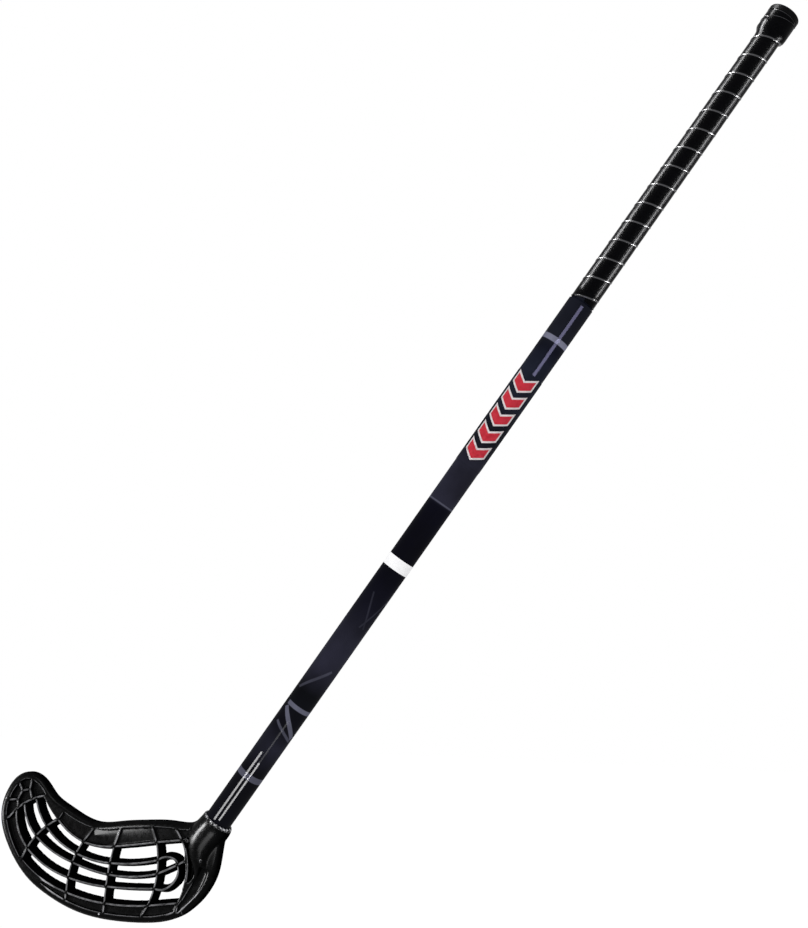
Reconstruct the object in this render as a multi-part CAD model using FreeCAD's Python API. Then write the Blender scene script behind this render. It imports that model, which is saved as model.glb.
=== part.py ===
import FreeCAD, Part
import math
import os

Vector = FreeCAD.Vector

# A floorball stick in playing stance: +Z up, the shaft and the blade's heel in the XZ plane,
# the toe towards -X and the hollow side of the blade towards -Y. All sizes are in millimetres.
# The origin is on the shaft's axis, in the middle of the grip. Stations are measured along
# that axis from the mouth of the blade's socket, upwards.

# Stance
lie_angle = 55.0

# Shaft tube
tube_length = 960.0
shaft_diameter = 26.0
tube_wall = 1.6
grip_seat_diameter = 22.8
grip_seat_station = 600.0
grip_seat_slope = 1.6

# End cap
cap_sleeve_length = 23.0
cap_flare_length = 14.0
cap_flare_lead = 4.9
cap_knob_diameter = 28.6
cap_lip_diameter = 31.0
cap_lip_height = 6.0
cap_lip_round = 2.2
cap_top_thickness = 3.4
cap_plug_length = 24.0
cap_plug_wall = 2.0
cap_fit = 0.1

# Grip tape
tape_width = 20.8
tape_thickness = 1.0
tape_pitch = 21.4
tape_glue_line = 0.1
tape_flare_room = 0.15
tape_end_width = 3.0
tape_end_azimuth = -70.0
tape_end_gap = 0.4
tape_strands = 8
tape_points_per_turn = 24

# Marking band and printed film on the shaft
film_thickness = 0.2
film_glue_line = 0.1
band_station = 291.7
band_width = 11.8
decal_station = 412.0
decal_length = 104.0
decal_wrap_angle = 170.0
decal_azimuth = -70.0

# Blade plate
blade_reach = 228.0
blade_drop = 97.6
blade_thickness = 13.0
hook_radius = 1500.0
rim_front_round = 4.5
rim_back_round = 3.0

# Lattice of the blade
rib_crest = 1.6
rib_base = 6.2
window_overcut = 1.0
rim_border = 5.0
band_depth = 2.6
toe_panel_depth = 4.0
heel_pocket_depth = 6.5
heel_channel_depth = 2.2
heel_pip_diameter = 2.4
heel_pip_height = 0.8

# Socket of the blade
socket_depth = 25.0
socket_fit = 0.3
socket_wall = 2.6
socket_floor = 3.0
socket_swell = 0.8
socket_lip_taper = 0.8
socket_mouth_round = 1.0

# Blade screws
screw_shank_diameter = 3.0
screw_head_diameter = 6.0
screw_head_height = 2.0
screw_head_round = 1.0
screw_drive_width = 2.6
screw_drive_depth = 1.2
screw_boss_diameter = 9.0
screw_boss_height = 1.6
screw_upper_depth = 7.5
screw_lower_depth = 17.5
screw_fit = 0.3
screw_tip_gap = 0.3

# Values worked out from the sizes above
full_turn = 2 * math.pi
shaft_radius = shaft_diameter / 2
bore_radius = shaft_radius - tube_wall
seat_radius = grip_seat_diameter / 2
seat_bore_radius = seat_radius - tube_wall
knob_radius = cap_knob_diameter / 2
tube_top = tube_length - socket_depth
cap_top = tube_top + cap_top_thickness
cap_foot = tube_top - cap_sleeve_length
cap_flare_start = cap_foot - cap_flare_lead
cap_lip_foot = cap_top - cap_lip_height
socket_radius = shaft_radius + socket_fit
hosel_radius = socket_radius + socket_wall
screw_seat = hosel_radius + screw_boss_height
half_thickness = blade_thickness / 2
tape_slant = tape_pitch / full_turn
tape_start = grip_seat_station + grip_seat_slope + tape_slant + tape_end_gap
tape_top = cap_lip_foot - tape_end_gap
grip_middle = (tape_start + tape_top) / 2
shaft_axis = Vector(math.cos(math.radians(lie_angle)), 0, math.sin(math.radians(lie_angle)))
upright = Vector(0, 0, 1)
backwards = Vector(0, 1, 0)


# Small helpers

def set_on_shaft(shape):
    """Turn a shape made upright on the Z axis so that Z lies along the shaft."""
    shape.rotate(Vector(0, 0, 0), backwards, 90 - lie_angle)
    return shape


def smooth_edge(points):
    """A smooth edge through points, or a straight one through two."""
    if len(points) == 2:
        return Part.LineSegment(points[0], points[1]).toShape()
    curve = Part.BSplineCurve()
    curve.interpolate(points)
    return curve.toShape()


def turned(corners, smooth_run=()):
    """Turn a closed profile of (radius, station) corners about the Z axis.

    A smooth run of places, if given, joins the last corner to the first.
    """
    places = [Vector(radius, 0, station) for radius, station in corners]
    edges = [smooth_edge([a, b]) for a, b in zip(places[:-1], places[1:])]
    run = [Vector(radius, 0, station) for radius, station in smooth_run]
    edges.append(smooth_edge([places[-1]] + run + [places[0]]))
    return Part.Face(Part.Wire(edges)).revolve(Vector(0, 0, 0), upright, 360)


def level_edges(shape, station):
    """Edges of an upright shape that lie level at a station."""
    return [edge for edge in shape.Edges
            if abs(edge.BoundBox.ZMin - station) < 1e-4 and abs(edge.BoundBox.ZMax - station) < 1e-4]


def ruled_face(low, high):
    """A face of straight lines between two curves that share their knots."""
    surface = Part.BSplineSurface()
    surface.buildFromPolesMultsKnots(
        [low.getPoles(), high.getPoles()], [2, 2], low.getMultiplicities(), [0, 1], low.getKnots(),
        False, False, 1, low.Degree)
    return surface.toShape()


def solid_from(faces):
    """Sew faces that close a space into one solid."""
    shell = Part.makeShell(faces)
    shell.sewShape()
    solid = Part.makeSolid(shell)
    if solid.Volume < 0:
        solid.reverse()
    return solid


# Shaft tube: a hollow tube with a slimmer seat for the grip

def make_shaft_tube():
    seat_foot = grip_seat_station + grip_seat_slope
    return set_on_shaft(turned([
        (bore_radius, -socket_depth),
        (shaft_radius, -socket_depth),
        (shaft_radius, grip_seat_station),
        (seat_radius, seat_foot),
        (seat_radius, tube_top),
        (seat_bore_radius, tube_top),
        (seat_bore_radius, seat_foot),
        (bore_radius, grip_seat_station),
    ]))


# End cap: a flared sleeve over the tube's end, a bare lip on top and a hollow plug inside

def flare_share(station):
    """How far the flare has risen from the grip's seat to the knob: 0 below it and 1 above."""
    share = (station - cap_flare_start) / cap_flare_length
    share = min(max(share, 0.0), 1.0)
    return (1 - math.cos(math.pi * share)) / 2


def flare_radius(station):
    return seat_radius + (knob_radius - seat_radius) * flare_share(station)


def make_end_cap():
    sleeve_bore = seat_radius + cap_fit
    plug_radius = seat_bore_radius - cap_fit
    plug_bore = plug_radius - cap_plug_wall
    plug_foot = tube_top - cap_plug_length
    lip_radius = cap_lip_diameter / 2
    flare_end = cap_flare_start + cap_flare_length
    steps = 6
    stations = [cap_foot + (flare_end - cap_foot) * step / steps for step in range(1, steps)]
    flare = [(flare_radius(station), station) for station in stations]
    cap = turned([
        (knob_radius, flare_end),
        (knob_radius, cap_lip_foot),
        (lip_radius, cap_lip_foot),
        (lip_radius, cap_top),
        (0, cap_top),
        (0, tube_top),
        (plug_bore, tube_top),
        (plug_bore, plug_foot),
        (plug_radius, plug_foot),
        (plug_radius, tube_top),
        (sleeve_bore, tube_top),
        (sleeve_bore, cap_foot),
        (flare_radius(cap_foot), cap_foot),
    ], flare)
    cap = cap.makeFillet(cap_lip_round, level_edges(cap, cap_top))
    return set_on_shaft(cap)


# Grip tape: one strip wound up the seat and over the knob

def tape_point(angle, station, lift):
    """A point of the strip at a winding angle, a station and a height above its bed."""
    share = flare_share(station)
    bed = flare_radius(station) + tape_glue_line + tape_flare_room * math.sin(math.pi * share)
    radius = bed + lift
    azimuth = angle + math.radians(tape_end_azimuth)
    return Vector(radius * math.cos(azimuth), radius * math.sin(azimuth), station)


def helix_station(angle):
    """Lower edge of the untrimmed strip; it passes tape_start after the first turn."""
    return tape_start + tape_pitch * (angle / full_turn - 1)


def tape_lower(angle):
    """Lower edge of the strip, trimmed on a slant in its first turn."""
    if angle > full_turn:
        return helix_station(angle)
    return tape_start + tape_slant * math.sin(angle)


def tape_upper(angle):
    """Upper edge of the strip, trimmed level under the cap's lip."""
    return min(helix_station(angle) + tape_width, tape_top)


def tape_stations(angle):
    """Stations across the strip, from its lower to its upper edge."""
    low = tape_lower(angle)
    width = tape_upper(angle) - low
    return [low + width * strand / tape_strands for strand in range(tape_strands + 1)]


def tape_first_angle():
    """Angle in the slanted first turn at which the strip is as wide as its end."""
    low = 0.0
    high = full_turn
    for _ in range(60):
        middle = (low + high) / 2
        if tape_upper(middle) - tape_lower(middle) < tape_end_width:
            low = middle
        else:
            high = middle
    return high


def tape_angles(first, last):
    count = max(4, round((last - first) / full_turn * tape_points_per_turn))
    return [first + (last - first) * step / count for step in range(count + 1)]


def tape_curves(angles, lift):
    """The strip's long curves from its lower to its upper edge, at one height above the bed."""
    curves = []
    for strand in range(tape_strands + 1):
        curve = Part.BSplineCurve()
        points = [tape_point(angle, tape_stations(angle)[strand], lift) for angle in angles]
        curve.interpolate(Points=points, Parameters=angles)
        curves.append(curve)
    return curves


def tape_end_face(angle):
    inner = [tape_point(angle, station, 0) for station in tape_stations(angle)]
    outer = [tape_point(angle, station, tape_thickness) for station in tape_stations(angle)]
    corners = inner + outer[::-1]
    return Part.Face(Part.makePolygon(corners + corners[:1]))


def tape_self_gap(first, last):
    """Least distance between the upper edge of one turn and the lower edge of the next."""
    gaps = []
    for angle in tape_angles(first, last - full_turn):
        upper = [tape_point(angle, tape_upper(angle), lift) for lift in (0, tape_thickness)]
        next_angle = angle + full_turn
        lower = [tape_point(next_angle, tape_lower(next_angle), lift) for lift in (0, tape_thickness)]
        gaps += [a.distanceToPoint(b) for a in upper for b in lower]
    return min(gaps)


def make_grip_tape():
    first = tape_first_angle()
    trimmed = full_turn * (1 + (tape_top - tape_width - tape_start) / tape_pitch)
    last = trimmed + full_turn * (tape_width - tape_end_width) / tape_pitch
    faces = [tape_end_face(first), tape_end_face(last)]
    for start, stop in ((first, full_turn), (full_turn, trimmed), (trimmed, last)):
        angles = tape_angles(start, stop)
        inner = tape_curves(angles, 0)
        outer = tape_curves(angles, tape_thickness)
        for side in (inner, outer):
            faces += [ruled_face(low, high) for low, high in zip(side[:-1], side[1:])]
        faces.append(ruled_face(inner[0], outer[0]))
        faces.append(ruled_face(inner[-1], outer[-1]))
    print("grip tape turns:", round((last - first) / full_turn, 2))
    print("grip tape least gap to itself:", round(tape_self_gap(first, last), 3))
    return set_on_shaft(solid_from(faces))


# Marking band and printed film: thin layers on the shaft

def make_film(station, length, wrap_angle, azimuth):
    """A film on the shaft, wrapped over an angle about an azimuth."""
    foot = Vector(0, 0, station)
    radius = shaft_radius + film_glue_line
    outside = Part.makeCylinder(radius + film_thickness, length, foot, upright, wrap_angle)
    inside = Part.makeCylinder(radius, length, foot, upright, wrap_angle)
    film = outside.cut(inside)
    film.rotate(Vector(0, 0, 0), upright, azimuth - wrap_angle / 2)
    return set_on_shaft(film)


def make_marking_band():
    return make_film(band_station, band_width, 360, 0)


def make_shaft_decal():
    return make_film(decal_station, decal_length, decal_wrap_angle, decal_azimuth)


# Blade screws: pan heads on the back of the socket, pointing at the shaft

def make_screw(depth_in_socket):
    seat = shaft_axis * -depth_in_socket + backwards * screw_seat
    head = Part.makeCylinder(screw_head_diameter / 2, screw_head_height)
    head = head.makeFillet(screw_head_round, level_edges(head, screw_head_height))
    shank_length = screw_seat - shaft_radius - screw_tip_gap
    shank = Part.makeCylinder(screw_shank_diameter / 2, shank_length, Vector(0, 0, -shank_length))
    corner = Vector(-screw_drive_width / 2, -screw_drive_width / 2, screw_head_height - screw_drive_depth)
    drive = Part.makeBox(screw_drive_width, screw_drive_width, screw_drive_depth, corner)
    screw = head.fuse(shank).cut(drive).removeSplitter()
    screw.rotate(Vector(0, 0, 0), Vector(1, 0, 0), -90)
    screw.translate(seat)
    return screw


# Blade: a hooked plate, pierced between its ribs, with a round socket at the heel.
# Blade places are (u, v): u towards the toe as a share of blade_reach, v upwards as a share of
# blade_drop, both from the middle of the socket's mouth.

BLADE_OUTLINE = [
    (-0.038, -0.095), (-0.023, -0.30), (-0.009, -0.50), (0.029, -0.68), (0.094, -0.84), (0.185, -0.95),
    (0.300, -0.995), (0.430, -1.0), (0.545, -0.975), (0.650, -0.912), (0.752, -0.805), (0.839, -0.675),
    (0.910, -0.50), (0.963, -0.30), (0.992, -0.12), (0.995, 0.04), (0.971, 0.21), (0.935, 0.32),
    (0.885, 0.365), (0.834, 0.328), (0.798, 0.252), (0.759, 0.147), (0.690, 0.045), (0.615, -0.045),
    (0.545, -0.09), (0.440, -0.07), (0.330, -0.047), (0.200, -0.04), (0.105, -0.03), (0.055, 0.03),
]

# Each upright rib, from the heel to the toe: where it leaves the upper rim, its crossing with the
# upper long rib, its middle, its crossing with the lower long rib, and where it reaches the rim
UPRIGHT_RIBS = [
    ((0.184, -0.09), (0.150, -0.205), (0.118, -0.50), (0.150, -0.79), (0.158, -0.92)),
    ((0.292, -0.10), (0.266, -0.240), (0.253, -0.50), (0.286, -0.835), (0.315, -0.96)),
    ((0.434, -0.12), (0.460, -0.305), (0.479, -0.575), (0.484, -0.845), (0.487, -0.94)),
    ((0.560, -0.15), (0.605, -0.280), (0.652, -0.520), (0.662, -0.768), (0.667, -0.85)),
    ((0.714, -0.02), (0.730, -0.078), (0.822, -0.240), (0.882, -0.480), (0.890, -0.48)),
    ((0.790, 0.150), (0.803, 0.142), (0.893, 0.062), (0.955, -0.075), (0.965, -0.09)),
]

# Shares of each upright rib's length at which the inner long ribs cross it, from the second rib on
ROW_SHARES = [
    (0.0, 0.28, 0.49, 0.72, 1.0),
    (0.0, 0.30, 0.50, 0.71, 1.0),
    (0.0, 0.255, 0.435, 0.725, 1.0),
    (0.0, 0.255, 0.515, 0.78, 1.0),
    (0.0, 0.21, 0.53, 0.77, 1.0),
]

# The loop that two long ribs make beside the heel rib, and where the rib between them crosses
HEEL_LOOP = [(0.203, -0.372), (0.166, -0.41), (0.155, -0.48), (0.161, -0.54), (0.186, -0.63)]
LOOP_CROSSING = (0.165, -0.440)
HEEL_CROSSING = (0.127, -0.392)

# Toe: the corners of a small ring on the last upright rib, and the spokes from it to the rim
RING_FEET = ((0.858, 0.105), (0.920, 0.025))
TOE_SPOKES = [
    ((0.873, 0.20), (0.867, 0.307)),
    ((0.907, 0.184), (0.922, 0.258)),
    ((0.925, 0.096), (0.972, 0.092)),
]

# Heel: the channel from the socket down into the lower band, the pocket beside it, the panel
# above that pocket and the small pip
CHANNEL_INNER = [(0.054, -0.425), (0.067, -0.50), (0.099, -0.62), (0.127, -0.725), (0.152, -0.81)]
CHANNEL_OUTER = [(0.021, -0.48), (0.043, -0.62), (0.075, -0.727), (0.113, -0.816), (0.157, -0.905)]
POCKET_RIGHT = [(0.100, -0.215), (0.098, -0.36), (0.084, -0.47), (0.100, -0.60)]
POCKET_FOOT = (0.125, -0.62)
HEEL_PANEL = [(0.103, -0.19), (0.112, -0.10)]
HEEL_PIP = (0.041, -0.379)

# Ovals through which the socket's outside runs out into the heel: place of the middle, lean in
# degrees, half the width and half the depth in millimetres
HEEL_OVALS = [
    ((0.070, -0.43), 66, 12.5, 11.0),
    ((0.066, -0.62), 72, 5.5, 4.5),
]


def place(share):
    """A blade place in millimetres."""
    return (share[0] * blade_reach, share[1] * blade_drop)


def flat_point(centre_u, u, v, depth):
    """A point on the plane that touches the hooked plate at centre_u, carried to a depth.

    Depth is 0 in the middle of the plate's thickness and grows towards its back.
    """
    angle = centre_u / hook_radius
    touch = Vector(-math.sin(angle), math.cos(angle) - 1, 0) * hook_radius
    along = Vector(-math.cos(angle), -math.sin(angle), 0)
    back = Vector(-math.sin(angle), math.cos(angle), 0)
    return touch + along * (u - centre_u) + back * depth + upright * v


def curve_through(places):
    """Smooth curve in the flat (u, v) plane through places in millimetres."""
    curve = Part.BSplineCurve()
    curve.interpolate([Vector(u, v, 0) for u, v in places])
    return curve


def stretch(curve, start, stop, count=3):
    """Places on a curve from the one nearest to start to the one nearest to stop."""
    first = curve.parameter(Vector(start[0], start[1], 0))
    last = curve.parameter(Vector(stop[0], stop[1], 0))
    points = [curve.value(first + (last - first) * step / (count - 1)) for step in range(count)]
    return [(point.x, point.y) for point in points]


def at_share(curve, share):
    """Place at a share of a curve's length."""
    point = curve.value(curve.parameterAtDistance(curve.length() * share, curve.FirstParameter))
    return (point.x, point.y)


def side_normal(a, b, sense):
    """Unit normal of a side, pointing into the outline."""
    length = math.hypot(b[0] - a[0], b[1] - a[1])
    return (-(b[1] - a[1]) / length * sense, (b[0] - a[0]) / length * sense)


def inset(places, distance):
    """Move each side of a closed outline inwards by a distance."""
    following = places[1:] + places[:1]
    area = sum(a[0] * b[1] - b[0] * a[1] for a, b in zip(places, following))
    sense = math.copysign(1, area)
    moved = []
    for index, here in enumerate(places):
        one = side_normal(places[index - 1], here, sense)
        two = side_normal(here, following[index], sense)
        scale = distance / (1 + one[0] * two[0] + one[1] * two[1])
        moved.append((here[0] + (one[0] + two[0]) * scale, here[1] + (one[1] + two[1]) * scale))
    return moved


def drafted_cutter(sides, back_depth):
    """A cutter between ribs, from in front of the plate to a depth.

    Its sides leave half of rib_crest at the plate's front and half of rib_base at its back.
    """
    places = [spot for side in sides for spot in side[:-1]]
    centre_u = sum(spot[0] for spot in places) / len(places)
    rings = []
    for depth in (-1.5 * blade_thickness, back_depth):
        share = (depth + half_thickness) / blade_thickness
        width = rib_crest + (rib_base - rib_crest) * share
        ring = [flat_point(centre_u, u, v, depth) for u, v in inset(places, width / 2)]
        ring.append(ring[0])
        edges = []
        start = 0
        for side in sides:
            stop = start + len(side) - 1
            edges.append(smooth_edge(ring[start:stop + 1]))
            start = stop
        rings.append(edges)
    faces = [Part.makeRuledSurface(front, back) for front, back in zip(*rings)]
    faces += [Part.Face(Part.Wire(edges)) for edges in rings]
    return solid_from(faces)


def window(sides):
    return drafted_cutter(sides, half_thickness + window_overcut)


def pocket(sides, depth):
    return drafted_cutter(sides, depth - half_thickness)


def rib_curve(rib):
    """An upright rib between the upper and the lower long rib."""
    return curve_through([place(spot) for spot in rib[1:4]])


def border_place(outline, t):
    """The place on the rim's inner border beside a parameter of the outline."""
    tangent = outline.tangent(t)[0]
    moved = outline.value(t) + Vector(-tangent.y, tangent.x, 0) * rim_border
    return (moved.x, moved.y)


def rim_run(outline, start, stop):
    """Places along the rim's inner border between the ones nearest to two given places."""
    first = outline.parameter(Vector(start[0], start[1], 0))
    last = outline.parameter(Vector(stop[0], stop[1], 0))
    return [border_place(outline, t) for t in (first, (first + last) / 2, last)]


def make_lattice():
    """Upright ribs from the second one on, their crossings, and the long ribs through those."""
    ribs = [rib_curve(rib) for rib in UPRIGHT_RIBS[1:]]
    crossings = [[at_share(rib, share) for share in shares] for rib, shares in zip(ribs, ROW_SHARES)]
    rows = [curve_through(row) for row in zip(*crossings)]
    return ribs, crossings, rows


def make_windows():
    """The see-through windows between the upright ribs, from the second rib to the toe."""
    ribs, crossings, rows = make_lattice()
    cutters = []
    for column in range(len(ribs) - 1):
        near = crossings[column]
        far = crossings[column + 1]
        last_column = column == len(ribs) - 2
        for row in range(3 if last_column else 4):
            cutters.append(window([
                stretch(rows[row], near[row], far[row]),
                stretch(ribs[column + 1], far[row], far[row + 1]),
                stretch(rows[row + 1], far[row + 1], near[row + 1]),
                stretch(ribs[column], near[row + 1], near[row]),
            ]))
    return cutters + make_heel_windows(crossings[0], ribs[0])


def make_heel_windows(crossings, rib):
    """The windows between the heel rib and the second upright rib, round the loop."""
    heel = rib_curve(UPRIGHT_RIBS[0])
    heel_top = place(UPRIGHT_RIBS[0][1])
    heel_foot = place(UPRIGHT_RIBS[0][3])
    heel_crossing = place(HEEL_CROSSING)
    loop_crossing = place(LOOP_CROSSING)
    loop = curve_through([crossings[1]] + [place(spot) for spot in HEEL_LOOP] + [crossings[3]])
    middle = curve_through([crossings[2], loop_crossing, heel_crossing])
    upper = [
        [crossings[0], heel_top],
        stretch(heel, heel_top, heel_crossing),
        stretch(middle, heel_crossing, loop_crossing),
        stretch(loop, loop_crossing, crossings[1], 5),
        stretch(rib, crossings[1], crossings[0]),
    ]
    in_loop_upper = [
        stretch(loop, crossings[1], loop_crossing, 5),
        stretch(middle, loop_crossing, crossings[2]),
        stretch(rib, crossings[2], crossings[1]),
    ]
    in_loop_lower = [
        stretch(middle, crossings[2], loop_crossing),
        stretch(loop, loop_crossing, crossings[3], 5),
        stretch(rib, crossings[3], crossings[2]),
    ]
    lower = [
        stretch(loop, crossings[3], loop_crossing, 5),
        stretch(middle, loop_crossing, heel_crossing),
        stretch(heel, heel_crossing, heel_foot, 5),
        [heel_foot, crossings[4]],
        stretch(rib, crossings[4], crossings[3]),
    ]
    return [window(sides) for sides in (upper, in_loop_upper, in_loop_lower, lower)]


def make_bands(outline):
    """Shallow panels between the long ribs and the rim, above and below the windows."""
    rows = make_lattice()[2]
    ribs = [[place(spot) for spot in rib] for rib in UPRIGHT_RIBS]
    cutters = []
    for rim_end, crossing, row in ((0, 1, rows[0]), (4, 3, rows[-1])):
        for column in range(4):
            near_rim, near = ribs[column][rim_end], ribs[column][crossing]
            far_rim, far = ribs[column + 1][rim_end], ribs[column + 1][crossing]
            if column == 3 and rim_end == 4:
                far_rim = far = stretch(row, near, far)[1]
            rim = rim_run(outline, far_rim, near_rim)
            inner = [near, far] if column == 0 else stretch(row, near, far)
            cutters.append(pocket([inner, [far, rim[0]], rim, [rim[-1], near]], band_depth))
    return cutters


def make_toe_panels(outline):
    """Closed panels round the small ring at the toe, and the one below the last windows."""
    ribs, crossings, rows = make_lattice()
    last = ribs[-1]
    top, foot = crossings[-1][0], crossings[-1][-1]
    feet = [place(spot) for spot in RING_FEET]
    hubs = [place(spoke[0]) for spoke in TOE_SPOKES]
    tips = [place(spoke[1]) for spoke in TOE_SPOKES]
    panels = []
    rim = rim_run(outline, place(UPRIGHT_RIBS[-1][0]), tips[0])
    panels.append([[top, rim[0]], rim, [rim[-1], hubs[0]], [hubs[0], feet[0]], stretch(last, feet[0], top)])
    for one, two in ((0, 1), (1, 2)):
        rim = rim_run(outline, tips[one], tips[two])
        panels.append([[hubs[one], rim[0]], rim, [rim[-1], hubs[two]], [hubs[two], hubs[one]]])
    rim = rim_run(outline, tips[2], place(UPRIGHT_RIBS[-1][4]))
    panels.append([[hubs[2], rim[0]], rim, [rim[-1], foot], stretch(last, foot, feet[1]), [feet[1], hubs[2]]])
    panels.append([[feet[0], hubs[0]], [hubs[0], hubs[1]], [hubs[1], hubs[2]], [hubs[2], feet[1]],
                   stretch(last, feet[1], feet[0])])
    near, far = crossings[-2], crossings[-1]
    rim = rim_run(outline, place(UPRIGHT_RIBS[-1][4]), near[4])
    panels.append([stretch(rows[3], near[3], far[3]), stretch(last, far[3], foot), [foot, rim[0]], rim,
                   [rim[-1], near[3]]])
    return [pocket(sides, toe_panel_depth) for sides in panels]


def make_heel_pockets(outline):
    """The channel below the socket, the deep pocket beside the heel rib and the panel above it."""
    heel = rib_curve(UPRIGHT_RIBS[0])
    top = place(UPRIGHT_RIBS[0][1])
    foot = place(POCKET_FOOT)
    right = [place(spot) for spot in POCKET_RIGHT]
    beside = [[top, right[0]], right, [right[-1], foot], stretch(heel, foot, top)]
    corners = [place(spot) for spot in HEEL_PANEL]
    rim = rim_run(outline, corners[1], place(UPRIGHT_RIBS[0][0]))
    above = [[top, corners[0]], [corners[0], rim[0]], rim, [rim[-1], top]]
    inner = [place(spot) for spot in CHANNEL_INNER]
    outer = [place(spot) for spot in CHANNEL_OUTER]
    channel = [inner, [inner[-1], outer[-1]], outer[::-1], [outer[0], inner[0]]]
    return [pocket(beside, heel_pocket_depth), pocket(above, band_depth), pocket(channel, heel_channel_depth)]


# Putting the blade together

def make_plate(outline):
    """The outline's prism, cut to the hooked plate between two upright cylinders, edges rounded."""
    wire = Part.Wire([outline.toShape()])
    wire.rotate(Vector(0, 0, 0), Vector(1, 0, 0), 90)
    wire = wire.mirror(Vector(0, 0, 0), Vector(1, 0, 0))
    face = Part.Face(wire)
    face.translate(backwards * -blade_reach)
    prism = face.extrude(backwards * 2 * blade_reach)
    foot = Vector(0, -hook_radius, -2 * blade_drop)
    back = Part.makeCylinder(hook_radius + half_thickness, 4 * blade_drop, foot)
    front = Part.makeCylinder(hook_radius - half_thickness, 4 * blade_drop, foot)
    plate = prism.common(back).cut(front).Solids[0]
    rims = sorted(plate.Edges, key=lambda edge: edge.Length)[-2:]
    rims.sort(key=lambda edge: edge.BoundBox.YMin)
    plate = plate.makeFillet(rim_front_round, rims[:1])
    back_rim = max(plate.Edges, key=lambda edge: edge.BoundBox.YMax * (edge.Length > blade_reach))
    return plate.makeFillet(rim_back_round, [back_rim])


def oval(centre, lean, half_width, half_depth):
    """A closed oval across a direction that leans in the XZ plane, given in degrees from +X."""
    across = Vector(-math.sin(math.radians(lean)), 0, math.cos(math.radians(lean)))
    points = []
    for step in range(12):
        angle = full_turn * step / 12
        offset = across * half_width * math.cos(angle) + backwards * half_depth * math.sin(angle)
        points.append(centre + offset)
    curve = Part.BSplineCurve()
    curve.interpolate(points, PeriodicFlag=True)
    return Part.Wire([curve.toShape()])


def make_hosel():
    """The socket's outside: a slightly swollen sleeve that runs out into the heel of the plate."""
    end = socket_depth + socket_floor
    swollen = hosel_radius + socket_swell
    lip_radius = hosel_radius - socket_lip_taper
    sections = [
        oval(Vector(0, 0, 0), lie_angle, lip_radius, lip_radius),
        oval(shaft_axis * -end / 2, lie_angle, swollen, swollen),
        oval(shaft_axis * -end, lie_angle, hosel_radius, hosel_radius),
    ]
    for spot, lean, half_width, half_depth in HEEL_OVALS:
        u, v = place(spot)
        sections.append(oval(Vector(-u, 0, v), lean, half_width, half_depth))
    hosel = Part.makeLoft(sections, True, False)
    mouth = min(hosel.Edges, key=lambda edge: edge.CenterOfMass.Length)
    return hosel.makeFillet(socket_mouth_round, [mouth])


def make_blade():
    outline = Part.BSplineCurve()
    outline.interpolate([Vector(u, v, 0) for u, v in map(place, BLADE_OUTLINE)], PeriodicFlag=True)
    additions = [make_hosel()]
    bores = [set_on_shaft(Part.makeCylinder(socket_radius, 2 * socket_depth, Vector(0, 0, -socket_depth)))]
    for depth in (screw_upper_depth, screw_lower_depth):
        foot = shaft_axis * -depth
        additions.append(Part.makeCylinder(screw_boss_diameter / 2, screw_seat, foot, backwards))
        bores.append(Part.makeCylinder(screw_shank_diameter / 2 + screw_fit, 2 * screw_seat, foot, backwards))
    pip_u, pip_v = place(HEEL_PIP)
    pip_foot = flat_point(pip_u, pip_u, pip_v, 0)
    pip_length = half_thickness + heel_pip_height
    additions.append(Part.makeCylinder(heel_pip_diameter / 2, pip_length, pip_foot, -backwards))
    body = make_plate(outline).fuse(additions)
    cutters = make_windows() + make_bands(outline) + make_toe_panels(outline) + make_heel_pockets(outline)
    return body.cut(cutters + bores).Solids[0]


# Writing the pieces

def main():
    pieces = {
        "shaft_tube": make_shaft_tube(),
        "end_cap": make_end_cap(),
        "grip_tape": make_grip_tape(),
        "marking_band": make_marking_band(),
        "shaft_decal": make_shaft_decal(),
        "blade_screw_upper": make_screw(screw_upper_depth),
        "blade_screw_lower": make_screw(screw_lower_depth),
        "blade": make_blade(),
    }
    os.makedirs("parts", exist_ok=True)
    for name, shape in pieces.items():
        shape.translate(shaft_axis * -grip_middle)
        print(name, "valid", shape.isValid(), "solids", len(shape.Solids), "volume", round(shape.Volume, 1))
        shape.exportStep("parts/" + name + ".step")


main()
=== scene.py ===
# %% [markdown]
# # A floorball stick, dressed for the camera
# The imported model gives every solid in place, in metres. This lesson keeps the solids whose
# shape is already right, replaces the blade and the wound grip with fuller meshes, adds the
# printed chevrons, and then gives each piece the surface of its real material.

# %% Load the frame
import math

import bmesh
import bpy
from mathutils import Matrix, Vector


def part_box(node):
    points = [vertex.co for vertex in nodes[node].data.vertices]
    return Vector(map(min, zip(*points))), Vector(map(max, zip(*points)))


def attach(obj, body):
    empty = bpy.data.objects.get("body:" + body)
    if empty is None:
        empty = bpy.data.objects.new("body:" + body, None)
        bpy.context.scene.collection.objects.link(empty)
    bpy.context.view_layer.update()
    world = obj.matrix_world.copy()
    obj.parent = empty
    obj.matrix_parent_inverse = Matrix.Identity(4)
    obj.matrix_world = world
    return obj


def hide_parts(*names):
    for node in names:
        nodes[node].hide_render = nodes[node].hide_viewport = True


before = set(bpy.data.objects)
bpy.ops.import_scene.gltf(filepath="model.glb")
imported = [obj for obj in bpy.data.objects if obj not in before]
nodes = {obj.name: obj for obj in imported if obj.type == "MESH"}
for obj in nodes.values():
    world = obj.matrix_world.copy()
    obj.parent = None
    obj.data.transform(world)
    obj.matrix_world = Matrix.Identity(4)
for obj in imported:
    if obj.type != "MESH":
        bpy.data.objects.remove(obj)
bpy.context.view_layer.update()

scene = bpy.context.scene
print("nodes:", sorted(nodes))

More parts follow.
